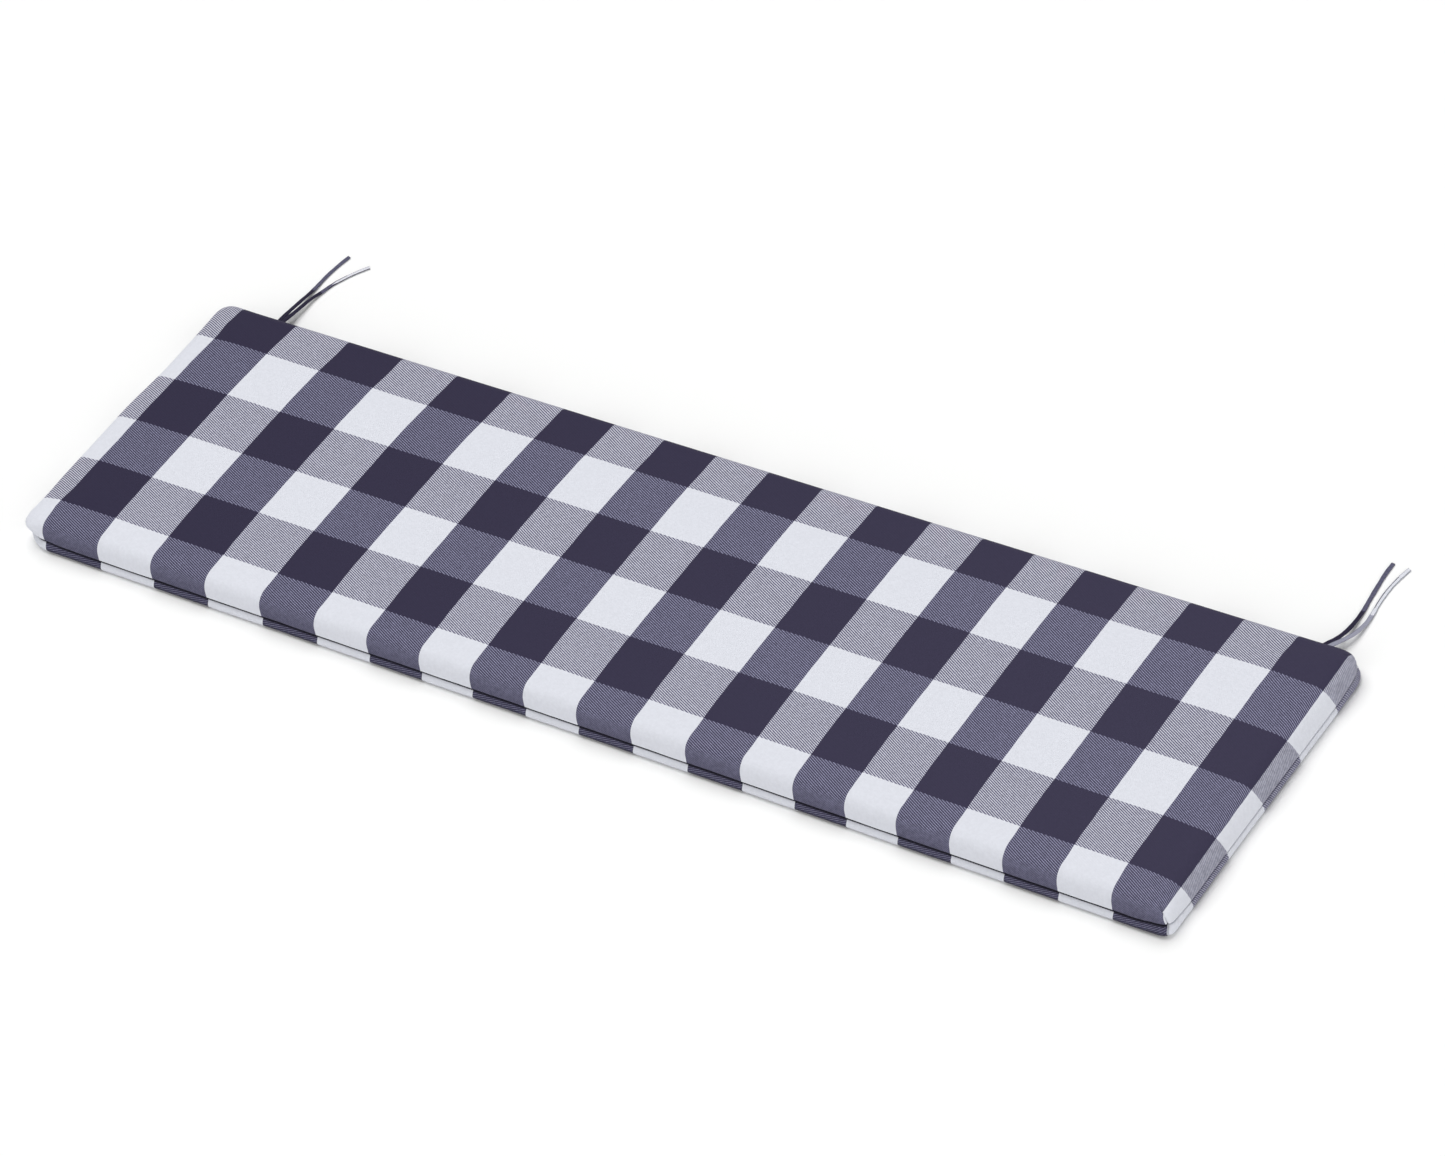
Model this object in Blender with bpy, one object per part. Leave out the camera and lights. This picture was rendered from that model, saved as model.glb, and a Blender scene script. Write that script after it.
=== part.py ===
# A bench cushion: a thin pad in a sewn cover, with two pairs of cloth ties at its back edge.
# Metres, +Z up. +X runs along the cushion, +Y to its back edge, where the ties are.
# The origin is on the surface that the cushion lies on, under its middle.

from collections import namedtuple
from math import cos, pi, radians, sin

import bmesh
import bpy
from mathutils import Vector

# Driving dimensions of the filled body.
LENGTH = 1.531
DEPTH = 0.392
THICKNESS = 0.0394
SEAM_HEIGHT = 0.0130

# The cloth's section, from the surface up.
FLOOR_EDGE_RADIUS = 0.0030
SEAM_GROOVE_DEPTH = 0.0013
SEAM_GROOVE_HALF_HEIGHT = 0.0010
PANEL_OVERHANG = 0.0003
CROWN = 0.0012
CROWN_REACH = 0.150

# How far a long side and an end stand in from the cushion's widest line, how far the top
# panel's edge rounds over, and how far the side is drawn in at its middle.
Side = namedtuple("Side", "floor_inset seam_inset shoulder_reach draw_in")
LONG_SIDE = Side(floor_inset=0.0, seam_inset=0.0018, shoulder_reach=0.0200, draw_in=0.0006)
END_SIDE = Side(floor_inset=0.0018, seam_inset=0.0003, shoulder_reach=0.0240, draw_in=0.0006)

# The corners differ a little: their radii seen from above, at the surface, on the side and on
# top, and how far each stands in from its end's widest line.
Corner = namedtuple("Corner", "low_radius side_radius top_radius end_inset")
FRONT_LEFT = Corner(low_radius=0.024, side_radius=0.015, top_radius=0.032, end_inset=0.0)
FRONT_RIGHT = Corner(low_radius=0.011, side_radius=0.012, top_radius=0.030, end_inset=0.0020)
BACK_RIGHT = Corner(low_radius=0.020, side_radius=0.021, top_radius=0.040, end_inset=0.0)
BACK_LEFT = Corner(low_radius=0.018, side_radius=0.014, top_radius=0.034, end_inset=0.0042)
INNER_CORNER_RADIUS = 0.012

# The upright dart that boxes each corner, and how far it lifts the seam there.
DART_DEPTH = 0.0012
DART_TOP = 0.031
SEAM_LIFT = 0.0030
SEAM_LIFT_REACH = 0.030

# How finely the body is divided.
LONG_SIDE_STEPS = 24
END_STEPS = 12
CORNER_STEPS = 8
FLOOR_EDGE_STEPS = 3
LOWER_STRIP_STEPS = 3
SHOULDER_STEPS = 10
CROWN_STEPS = 5

# The ties: a folded strip, flat in section, and how finely it is divided.
TIE_WIDTH = 0.0038
TIE_THICKNESS = 0.0018
TIE_RING_SPACING = 0.004
TIE_EDGE_STEPS = 4
TIE_CURVE_STEPS = 12

# Each tie's route by its middle line, from the back seam to the cut end.
TIE_ROUTES = {
    "tie_left_a": (
        (-0.6885, 0.1952, 0.0130), (-0.6898, 0.2044, 0.0112), (-0.6909, 0.2215, 0.0086),
        (-0.6915, 0.2456, 0.0050), (-0.6912, 0.2667, 0.0025), (-0.6913, 0.2937, 0.0012),
        (-0.6885, 0.3154, 0.0012), (-0.6853, 0.3302, 0.0012),
    ),
    "tie_left_b": (
        (-0.6839, 0.1952, 0.0130), (-0.6843, 0.2055, 0.0110), (-0.6840, 0.2305, 0.0070),
        (-0.6828, 0.2525, 0.0040), (-0.6798, 0.2676, 0.0020), (-0.6752, 0.2839, 0.0012),
        (-0.6684, 0.2976, 0.0012), (-0.6587, 0.3126, 0.0012), (-0.6500, 0.3238, 0.0012),
    ),
    "tie_right_a": (
        (0.7055, 0.1954, 0.0130), (0.7090, 0.2036, 0.0114), (0.7144, 0.2174, 0.0090),
        (0.7167, 0.2337, 0.0060), (0.7164, 0.2501, 0.0035), (0.7154, 0.2655, 0.0019),
        (0.7132, 0.2833, 0.0012), (0.7112, 0.3037, 0.0012), (0.7098, 0.3228, 0.0012),
        (0.7100, 0.3380, 0.0012),
    ),
    "tie_right_b": (
        (0.7108, 0.1955, 0.0130), (0.7158, 0.2053, 0.0114), (0.7219, 0.2187, 0.0090),
        (0.7259, 0.2320, 0.0060), (0.7275, 0.2497, 0.0031), (0.7266, 0.2650, 0.0016),
        (0.7247, 0.2824, 0.0012), (0.7243, 0.2999, 0.0012), (0.7261, 0.3184, 0.0012),
        (0.7301, 0.3368, 0.0012),
    ),
}

# Material colours, linear.
CHECK_BLUE = (0.29, 0.30, 0.40, 1.0)
TIE_COLOURS = {
    "tie_left_a": (0.06, 0.055, 0.10, 1.0),
    "tie_left_b": (0.30, 0.31, 0.40, 1.0),
    "tie_right_a": (0.06, 0.055, 0.10, 1.0),
    "tie_right_b": (0.50, 0.52, 0.62, 1.0),
}
CLOTH_ROUGHNESS = 0.9

# One level of the body: its height, how far a long side and an end stand in there, and how far
# it has come over the edge, from the side (0) to the top's rim (1) and the middle (2).
Level = namedtuple("Level", "height long_inset end_inset over")

# One point of a level's outline, seen from above, and its distance to the nearest corner.
OutlinePoint = namedtuple("OutlinePoint", "place corner_distance")


def clear_scene():
    for item in list(bpy.data.objects):
        bpy.data.objects.remove(item, do_unlink=True)


def smooth_step(value):
    value = min(max(value, 0.0), 1.0)
    return value * value * (3.0 - 2.0 * value)


def blend(start, end, part):
    return start + (end - start) * part


def make_level(height, inset_rule, over=0.0):
    return Level(height, inset_rule(LONG_SIDE), inset_rule(END_SIDE), over)


def floor_edge_levels():
    # the small round edge between the flat underside and the lower strip
    levels = []
    for step in range(FLOOR_EDGE_STEPS + 1):
        turn = pi / 2.0 * step / FLOOR_EDGE_STEPS
        height = FLOOR_EDGE_RADIUS * (1.0 - cos(turn))
        tuck = FLOOR_EDGE_RADIUS * (1.0 - sin(turn))
        levels.append(make_level(height, lambda side: side.floor_inset + tuck))
    return levels


def lower_strip_levels():
    # the bottom panel, turned up as far as the seam
    top = SEAM_HEIGHT - SEAM_GROOVE_HALF_HEIGHT
    levels = []
    for step in range(1, LOWER_STRIP_STEPS + 1):
        part = step / LOWER_STRIP_STEPS
        bend = 1.0 - cos(part * pi / 2.0)
        height = blend(FLOOR_EDGE_RADIUS, top, part)
        levels.append(make_level(height, lambda side: blend(side.floor_inset, side.seam_inset, bend)))
    return levels


def seam_levels():
    # the sewn channel, where the top panel overhangs the bottom one a little
    offset = SEAM_GROOVE_HALF_HEIGHT * 0.3
    levels = []
    for height in (SEAM_HEIGHT - offset, SEAM_HEIGHT + offset):
        levels.append(make_level(height, lambda side: side.seam_inset + SEAM_GROOVE_DEPTH))
    lip_height = SEAM_HEIGHT + SEAM_GROOVE_HALF_HEIGHT
    levels.append(make_level(lip_height, lambda side: side.seam_inset - PANEL_OVERHANG))
    return levels


def shoulder_levels():
    # the top panel, a quarter ellipse from the seam to the top's rim
    base = SEAM_HEIGHT + SEAM_GROOVE_HALF_HEIGHT
    levels = []
    for step in range(1, SHOULDER_STEPS + 1):
        turn = pi / 2.0 * step / SHOULDER_STEPS
        over = 1.0 - cos(turn)
        height = blend(base, THICKNESS - CROWN, sin(turn))
        rule = lambda side: side.seam_inset - PANEL_OVERHANG + side.shoulder_reach * over
        levels.append(make_level(height, rule, over))
    return levels


def crown_levels(rim):
    # the top, rising gently towards the middle
    levels = []
    for step in range(1, CROWN_STEPS + 1):
        part = step / CROWN_STEPS
        height = blend(rim.height, THICKNESS, sin(part * pi / 2.0))
        way_in = CROWN_REACH * part
        levels.append(Level(height, rim.long_inset + way_in, rim.end_inset + way_in, 1.0 + part))
    return levels


def radius_at(corner, level):
    if level.over > 1.0:
        return blend(corner.top_radius, INNER_CORNER_RADIUS, level.over - 1.0)
    above_seam = smooth_step((level.height - SEAM_HEIGHT) / SEAM_HEIGHT)
    radius = blend(corner.low_radius, corner.side_radius, above_seam)
    return blend(radius, corner.top_radius, level.over)


def dart_at(height):
    # the dart is deepest at the seam and runs out below the top's rim
    rise = smooth_step((DART_TOP - height) / (DART_TOP - SEAM_HEIGHT))
    return DART_DEPTH * rise * smooth_step(height / FLOOR_EDGE_RADIUS)


def lift_at(height, corner_distance):
    # the corner's pull lifts the cloth, most at the seam and not at all below it or on top
    below = smooth_step(height / SEAM_HEIGHT)
    above = smooth_step((THICKNESS - height) / (THICKNESS - SEAM_HEIGHT))
    return SEAM_LIFT * below * above * smooth_step(1.0 - corner_distance / SEAM_LIFT_REACH)


def side_run(start, end, steps, draw_in):
    # one side without its last point, closer together near the corners; its outer face is on
    # the right-hand side of the way from start to end
    way = end - start
    inward = Vector((-way.y, way.x)).normalized()
    run = []
    for step in range(steps):
        part = 0.5 - 0.5 * cos(pi * step / steps)
        place = start + way * part + inward * (draw_in * sin(pi * part))
        run.append(OutlinePoint(place, way.length * min(part, 1.0 - part)))
    return run


def corner_run(centre, radius, start_turn, dart):
    # one corner without its last point, with the dart's crease at its middle
    run = []
    for step in range(CORNER_STEPS):
        turn = start_turn + pi / 2.0 * step / CORNER_STEPS
        reach = radius - (dart if step == CORNER_STEPS // 2 else 0.0)
        run.append(OutlinePoint(centre + Vector((cos(turn), sin(turn))) * reach, 0.0))
    return run


def outline(level):
    # one level's outline seen from above, anticlockwise from the front left corner's end
    dart = dart_at(level.height)
    draw = 1.0 - min(level.over, 1.0)
    half_y = DEPTH / 2.0 - level.long_inset
    spots = []
    for corner, x_sign, y_sign in ((FRONT_RIGHT, 1, -1), (BACK_RIGHT, 1, 1),
                                   (BACK_LEFT, -1, 1), (FRONT_LEFT, -1, -1)):
        radius = radius_at(corner, level)
        half_x = LENGTH / 2.0 - level.end_inset - corner.end_inset
        centre = Vector((x_sign * (half_x - radius), y_sign * (half_y - radius)))
        spots.append((centre, radius))
    points = []
    for index, (centre, radius) in enumerate(spots):
        # the side that leads to this corner, then the corner itself
        last_centre, last_radius = spots[index - 1]
        turn = pi / 2.0 * (index - 1)
        out = Vector((round(cos(turn)), round(sin(turn))))
        is_long = index % 2 == 0
        side = LONG_SIDE if is_long else END_SIDE
        steps = LONG_SIDE_STEPS if is_long else END_STEPS
        points += side_run(last_centre + out * last_radius, centre + out * radius, steps,
                           side.draw_in * draw)
        points += corner_run(centre, radius, turn, dart)
    return points


def bridge(shape, lower, upper):
    count = len(lower)
    for index in range(count):
        after = (index + 1) % count
        shape.faces.new((lower[index], lower[after], upper[after], upper[index]))


def cloth_material(name, colour):
    material = bpy.data.materials.new(name)
    material.use_nodes = True
    surface = material.node_tree.nodes["Principled BSDF"]
    surface.inputs["Base Color"].default_value = colour
    surface.inputs["Roughness"].default_value = CLOTH_ROUGHNESS
    surface.inputs["Metallic"].default_value = 0.0
    return material


def add_object(name, shape, colour, sharp_angle):
    mesh = bpy.data.meshes.new(name)
    shape.to_mesh(mesh)
    shape.free()
    mesh.shade_smooth()
    mesh.set_sharp_from_angle(angle=sharp_angle)
    mesh.materials.append(cloth_material(name + "_cloth", colour))
    bpy.context.collection.objects.link(bpy.data.objects.new(name, mesh))


def close_rings(shape, rings):
    # joins rings of points into one closed body
    for lower, upper in zip(rings, rings[1:]):
        bridge(shape, lower, upper)
    shape.faces.new(reversed(rings[0]))
    shape.faces.new(rings[-1])


def build_cushion():
    levels = floor_edge_levels() + lower_strip_levels() + seam_levels() + shoulder_levels()
    levels += crown_levels(rim=levels[-1])
    shape = bmesh.new()
    rings = []
    for level in levels:
        ring = []
        for place, corner_distance in outline(level):
            height = level.height + lift_at(level.height, corner_distance)
            ring.append(shape.verts.new((place.x, place.y, height)))
        rings.append(ring)
    close_rings(shape, rings)
    add_object("cushion", shape, CHECK_BLUE, radians(55.0))


def curve_point(before, start, end, after, t):
    # a point between start and end on a smooth curve through all four
    return 0.5 * (2.0 * start + (end - before) * t
                  + (2.0 * before - 5.0 * start + 4.0 * end - after) * t ** 2
                  + (3.0 * start - before - 3.0 * end + after) * t ** 3)


def smooth_route(points):
    # evenly spaced points along a smooth curve through the route's own points
    knots = [Vector(point) for point in points]
    knots = [knots[0] * 2.0 - knots[1]] + knots + [knots[-1] * 2.0 - knots[-2]]
    fine = []
    for index in range(1, len(knots) - 2):
        for step in range(TIE_CURVE_STEPS):
            fine.append(curve_point(*knots[index - 1:index + 3], step / TIE_CURVE_STEPS))
    fine.append(knots[-2])
    lengths = [0.0]
    for start, end in zip(fine, fine[1:]):
        lengths.append(lengths[-1] + (end - start).length)
    count = round(lengths[-1] / TIE_RING_SPACING)
    route = []
    index = 0
    for step in range(count + 1):
        target = lengths[-1] * step / count
        while index < len(fine) - 2 and lengths[index + 1] < target:
            index += 1
        part = (target - lengths[index]) / (lengths[index + 1] - lengths[index])
        route.append(fine[index].lerp(fine[index + 1], part))
    return route


def strip_section():
    # the folded strip's section, flat with round edges, as offsets to its side and upwards
    edge_radius = TIE_THICKNESS / 2.0
    flat = TIE_WIDTH / 2.0 - edge_radius
    points = []
    for centre, start_turn in ((flat, -pi / 2.0), (-flat, pi / 2.0)):
        for step in range(TIE_EDGE_STEPS + 1):
            turn = start_turn + pi * step / TIE_EDGE_STEPS
            points.append((centre + edge_radius * cos(turn), edge_radius * sin(turn)))
    return points


def build_tie(name, route_points):
    route = smooth_route(route_points)
    section = strip_section()
    shape = bmesh.new()
    rings = []
    for index, centre in enumerate(route):
        ahead = route[min(index + 1, len(route) - 1)] - route[max(index - 1, 0)]
        side = Vector((0.0, 0.0, 1.0)).cross(ahead).normalized()
        up = ahead.cross(side).normalized()
        rings.append([shape.verts.new(centre + side * across + up * rise) for across, rise in section])
    close_rings(shape, rings)
    bmesh.ops.recalc_face_normals(shape, faces=shape.faces)
    add_object(name, shape, TIE_COLOURS[name], radians(60.0))


def main():
    clear_scene()
    build_cushion()
    for name, route_points in TIE_ROUTES.items():
        build_tie(name, route_points)


main()
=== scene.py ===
from math import asin, cos, pi, radians, sin, tanh

import bmesh
import bpy
import numpy as np
from mathutils import Matrix, Vector
from mathutils.kdtree import KDTree


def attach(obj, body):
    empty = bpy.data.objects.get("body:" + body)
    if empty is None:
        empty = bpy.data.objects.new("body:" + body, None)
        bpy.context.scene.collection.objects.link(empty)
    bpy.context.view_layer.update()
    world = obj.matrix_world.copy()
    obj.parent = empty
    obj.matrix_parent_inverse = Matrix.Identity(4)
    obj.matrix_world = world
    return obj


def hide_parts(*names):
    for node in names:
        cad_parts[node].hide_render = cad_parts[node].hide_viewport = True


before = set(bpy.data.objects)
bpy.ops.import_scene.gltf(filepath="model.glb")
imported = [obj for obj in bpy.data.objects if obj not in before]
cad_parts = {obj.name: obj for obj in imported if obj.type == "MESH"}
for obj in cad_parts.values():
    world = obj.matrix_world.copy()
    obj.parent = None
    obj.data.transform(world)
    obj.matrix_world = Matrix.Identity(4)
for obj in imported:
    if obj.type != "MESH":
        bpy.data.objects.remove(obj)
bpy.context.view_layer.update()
print("frame loaded")


def smoothStep(value):
    value = min(max(value, 0.0), 1.0)
    return value * value * (3.0 - 2.0 * value)


def blend(start, end, part):
    return start + (end - start) * part


# the photo's camera, solved from the corners of the check
view = {
    "place": (3.4775, -3.1492, 4.3490),
    "azimuth": 47.0003,
    "elevation": 42.7745,
    "roll": -18.1668,
    "lens": 149.19,
    "sensor": 36.0,
    "farthest": 50.0,
}


def makeCamera():
    azimuth, elevation = radians(view["azimuth"]), radians(view["elevation"])
    roll = radians(view["roll"])
    levelRight = Vector((cos(azimuth), sin(azimuth), 0.0))
    back = Vector((sin(azimuth) * cos(elevation), -cos(azimuth) * cos(elevation), sin(elevation)))
    levelUp = back.cross(levelRight)
    right = levelRight * cos(roll) + levelUp * sin(roll)
    up = back.cross(right)
    data = bpy.data.cameras.new("camera")
    data.sensor_width = view["sensor"]
    data.lens = view["lens"]
    data.dof.use_dof = False
    data.clip_end = view["farthest"]
    item = bpy.data.objects.new("camera", data)
    turned = Matrix((right, up, back)).transposed().to_4x4()
    item.matrix_world = Matrix.Translation(Vector(view["place"])) @ turned
    bpy.context.scene.collection.objects.link(item)
    bpy.context.scene.camera = item


makeCamera()
print("camera placed")


def addPiece(name, mesh, material):
    mesh.name = name
    mesh.materials.clear()
    mesh.materials.append(material)
    item = bpy.data.objects.new(name, mesh)
    bpy.context.scene.collection.objects.link(item)
    return item


def finishMesh(name, shape, smooth=True):
    mesh = bpy.data.meshes.new(name)
    shape.to_mesh(mesh)
    shape.free()
    if smooth:
        mesh.shade_smooth()
    return mesh


def evaluatedMesh(item):
    # the object's mesh with all of its modifiers in it
    graph = bpy.context.evaluated_depsgraph_get()
    return bpy.data.meshes.new_from_object(item.evaluated_get(graph), depsgraph=graph)


def bakeModifiers(item):
    mesh = evaluatedMesh(item)
    item.modifiers.clear()
    old = item.data
    item.data = mesh
    bpy.data.meshes.remove(old)


def roundOff(item):
    finer = item.modifiers.new("finer", "SUBSURF")
    finer.levels = finer.render_levels = 1
    bakeModifiers(item)


def setSocket(tree, socket, value):
    # links another node's output to a socket, or gives it a value of its own
    if isinstance(value, bpy.types.NodeSocket):
        tree.links.new(value, socket)
    else:
        socket.default_value = value


def addNode(tree, kind, values=None, **settings):
    # one node, with its settings and the values or links of its inputs
    node = tree.nodes.new(kind)
    for name, value in settings.items():
        setattr(node, name, value)
    for key, value in (values or {}).items():
        setSocket(tree, node.inputs[key], value)
    return node


def mathNode(tree, operation, first, second=0.0, third=0.0):
    values = {0: first, 1: second, 2: third}
    return addNode(tree, "ShaderNodeMath", values, operation=operation).outputs[0]


def times(tree, first, second):
    return mathNode(tree, "MULTIPLY", first, second)


def plus(tree, first, second):
    return mathNode(tree, "ADD", first, second)


def minus(tree, first, second):
    return mathNode(tree, "SUBTRACT", first, second)


def isBelow(tree, first, second):
    return mathNode(tree, "LESS_THAN", first, second)


def isAbove(tree, first, second):
    return mathNode(tree, "GREATER_THAN", first, second)


def partsOf(tree, place):
    return addNode(tree, "ShaderNodeSeparateXYZ", {0: place}).outputs


def stretchNode(tree, place, scales):
    values = {0: place, 1: scales}
    return addNode(tree, "ShaderNodeVectorMath", values, operation="MULTIPLY").outputs[0]


def noiseNode(tree, place, scale, detail, roughness=0.5):
    values = {"Vector": place, "Scale": scale, "Detail": detail, "Roughness": roughness}
    return addNode(tree, "ShaderNodeTexNoise", values).outputs[0]


def mixColour(tree, part, first, second):
    node = addNode(tree, "ShaderNodeMix", data_type="RGBA")
    for key, value in (("Factor_Float", part), ("A_Color", first), ("B_Color", second)):
        setSocket(tree, next(s for s in node.inputs if s.identifier == key), value)
    return next(s for s in node.outputs if s.identifier == "Result_Color")


def blendNode(tree, part, first, second):
    values = {"Factor": part, "A": first, "B": second}
    return addNode(tree, "ShaderNodeMix", values).outputs[0]


def smoothRange(tree, value, low, high, toLow=0.0, toHigh=1.0):
    node = addNode(tree, "ShaderNodeMapRange", {0: value, 1: low, 2: high, 3: toLow, 4: toHigh},
                   interpolation_type="SMOOTHSTEP")
    return node.outputs[0]


def newGroup(name, inputs, outputs, treeKind="ShaderNodeTree"):
    tree = bpy.data.node_groups.new(name, treeKind)
    for label, kind, value in inputs:
        socket = tree.interface.new_socket(label, in_out="INPUT", socket_type="NodeSocket" + kind)
        if value is not None:
            socket.default_value = value
    for label, kind in outputs:
        tree.interface.new_socket(label, in_out="OUTPUT", socket_type="NodeSocket" + kind)
    return tree, tree.nodes.new("NodeGroupInput").outputs, tree.nodes.new("NodeGroupOutput")


def closeGroup(tree, result, values):
    for label, value in values.items():
        tree.links.new(value, result.inputs[label])
    return tree


def placeGroup(tree, group, values):
    return addNode(tree, "ShaderNodeGroup", values, node_tree=group).outputs


# the yarns' colours, a lighter navy painted as light towards the right end, the near-black tone
# painted as shade, and how much of a stripe the crossing yarn's lines take
clothTones = {
    "navy": (0.0285, 0.0240, 0.0540, 1.0),
    "navyPaintedLight": (0.0410, 0.0360, 0.0710, 1.0),
    "white": (0.712, 0.727, 0.788, 1.0),
    "paleLine": (0.480, 0.485, 0.690, 1.0),
    "navyLine": (0.060, 0.052, 0.130, 1.0),
    "paintedShade": (0.0100, 0.0090, 0.0170, 1.0),
    "paleLineShare": 0.215,
    "navyLineShare": 0.585,
}

clothSurface = {
    "Roughness": 0.90,
    "Specular IOR Level": 0.15,
    "Sheen Weight": 0.04,
    "Sheen Roughness": 0.5,
}

# lines and threads in each stripe of the check, how far they wander, and how high they stand
twillLook = {
    "perColumn": 12.4,
    "perRow": 27.8,
    "wander": 0.25,
    "wanderScale": 5.0,
    "threadsPerStripe": 150.0,
    "threadShape": (1.0, 0.12, 1.0),
    "ridgeHeight": 1.4,
    "threadHeight": 0.5,
    "fuzzRange": (0.25, 0.75),
    "roughnessRange": (0.84, 0.96),
    "bumpStrength": 0.5,
}

# the slight waver of the stripes' edges, in stripes
checkRipple = {"scale": 2.4, "size": 0.02}

# the stretch of the noise over which the mottling goes from its darkest to its lightest
mottleRange = (0.30, 0.72)


def makeTwillGroup():
    # diagonal twill and single threads on a cloth map: how much of the crossing yarn shows,
    # how high the surface stands, and how fuzzy it is
    tree, given, result = newGroup(
        "twill",
        (("Cloth", "Vector", None),
         ("Across", "Float", twillLook["perColumn"]),
         ("Along", "Float", twillLook["perRow"]),
         ("Threads", "Float", twillLook["threadsPerStripe"])),
        (("Line", "Float"), ("Height", "Float"), ("Fuzz", "Float")),
    )
    split = partsOf(tree, given["Cloth"])
    phase = minus(tree, times(tree, split[0], given["Across"]),
                  times(tree, split[1], given["Along"]))
    wander = noiseNode(tree, given["Cloth"], twillLook["wanderScale"], 3.0, 0.6)
    phase = plus(tree, phase, times(tree, wander, twillLook["wander"]))
    # threads, long in the columns' direction
    stretched = stretchNode(tree, given["Cloth"], twillLook["threadShape"])
    yarn = noiseNode(tree, stretched, given["Threads"], 2.0)
    ridge = mathNode(tree, "PINGPONG", phase, 0.5)
    height = plus(tree, times(tree, ridge, twillLook["ridgeHeight"]),
                  times(tree, yarn, twillLook["threadHeight"]))
    line = mathNode(tree, "FRACT", phase)
    return closeGroup(tree, result, {"Line": line, "Height": height, "Fuzz": yarn})


def makeCheckGroup():
    # a woven check in stripes one unit wide: dark and light columns cross dark and light rows,
    # and the twill lets the row's yarn show between the column's
    tree, given, result = newGroup(
        "wovenCheck",
        (("Cloth", "Vector", None),
         ("Line", "Float", 0.5),
         ("Closed", "Float", 0.0),
         ("Pale Closed", "Float", 0.0),
         ("Navy Closed", "Float", 0.0),
         ("Navy", "Color", clothTones["navy"]),
         ("White", "Color", clothTones["white"]),
         ("Pale Line", "Color", clothTones["paleLine"]),
         ("Navy Line", "Color", clothTones["navyLine"]),
         ("Pale Share", "Float", clothTones["paleLineShare"]),
         ("Navy Share", "Float", clothTones["navyLineShare"])),
        (("Color", "Color"), ("Mixed", "Float"), ("Dark", "Float")),
    )
    split = partsOf(tree, given["Cloth"])
    ripple = minus(tree, noiseNode(tree, given["Cloth"], checkRipple["scale"], 2.0), 0.5)
    ripple = times(tree, ripple, checkRipple["size"])
    darkColumn, darkRow = [
        isBelow(tree, mathNode(tree, "FLOORED_MODULO", plus(tree, place, ripple), 2.0), 1.0)
        for place in split[:2]
    ]
    # where the cloth is bent down the lines close up into an even blend
    paleShows, navyShows = [
        blendNode(tree, mathNode(tree, "MAXIMUM", given["Closed"], given[kind + " Closed"]),
                  isBelow(tree, given["Line"], given[kind + " Share"]), given[kind + " Share"])
        for kind in ("Pale", "Navy")
    ]
    onNavy = mixColour(tree, times(tree, paleShows, minus(tree, 1.0, darkRow)),
                       given["Navy"], given["Pale Line"])
    onWhite = mixColour(tree, times(tree, navyShows, darkRow), given["White"], given["Navy Line"])
    return closeGroup(tree, result, {
        "Color": mixColour(tree, darkColumn, onWhite, onNavy),
        "Mixed": mathNode(tree, "ABSOLUTE", minus(tree, darkColumn, darkRow)),
        "Dark": darkColumn,
    })


def makeMottleGroup():
    # soft, uneven tone in the dyed yarn, which takes part of a colour's lightness away
    tree, given, result = newGroup(
        "mottle",
        (("Color", "Color", None), ("Place", "Vector", None), ("Scale", "Float", 160.0),
         ("Amount", "Float", 0.12)),
        (("Color", "Color"), ("Tone", "Float")),
    )
    tone = smoothRange(tree, noiseNode(tree, given["Place"], given["Scale"], 4.0, 0.65),
                       *mottleRange)
    values = {0: tone, 3: minus(tree, 1.0, given["Amount"]), 4: plus(tree, 1.0, given["Amount"])}
    factor = addNode(tree, "ShaderNodeMapRange", values).outputs[0]
    scaled = addNode(tree, "ShaderNodeVectorMath", {0: given["Color"], 3: factor},
                     operation="SCALE").outputs[0]
    return closeGroup(tree, result, {"Color": scaled, "Tone": tone})


rowPitch = 0.07035

twillGroup = makeTwillGroup()
checkGroup = makeCheckGroup()
mottleGroup = makeMottleGroup()


def startMaterial(name, values=clothSurface):
    material = bpy.data.materials.new(name)
    material.use_nodes = True
    tree = material.node_tree
    surface = tree.nodes["Principled BSDF"]
    for key, value in values.items():
        surface.inputs[key].default_value = value
    return material, tree, surface


def finishCloth(tree, surface, colour, height, fuzz, bumpHeight):
    tree.links.new(colour, surface.inputs["Base Color"])
    rough = smoothRange(tree, fuzz, *twillLook["fuzzRange"], *twillLook["roughnessRange"])
    tree.links.new(rough, surface.inputs["Roughness"])
    bump = addNode(tree, "ShaderNodeBump", {"Strength": twillLook["bumpStrength"],
                                            "Distance": bumpHeight, "Height": height})
    tree.links.new(bump.outputs[0], surface.inputs["Normal"])


# heights between which the twill lines close up on the side and their shares change, how far they
# close in each place, and the stretch along the cushion over which the navy is painted lighter
# towards the right end, as painted light
cover = {
    "linesHeights": (0.0270, 0.0355),
    "lowHeights": (0.0150, 0.0310),
    "stripHeights": (0.0120, 0.0135),
    "paintedLightStretch": (-0.80, 0.85),
    "linesClosed": 0.80,
    "stripClosed": 0.45,
    "paleClosed": 0.30,
    "navyClosed": 0.20,
    "paleShareAdded": (-0.060, -0.035),
    "navyShareAdded": (0.02, 0.14),
    "mottleScale": 260.0,
    "mottleEverywhere": 0.028,
    "mottleMixed": (0.08, 0.15),
    "darkSpread": 0.18,
    "bumpHeight": 0.0002,
}

threadMottle = {"Scale": 900.0, "Amount": 0.2}
threadBumpHeight = 0.00005


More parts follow.
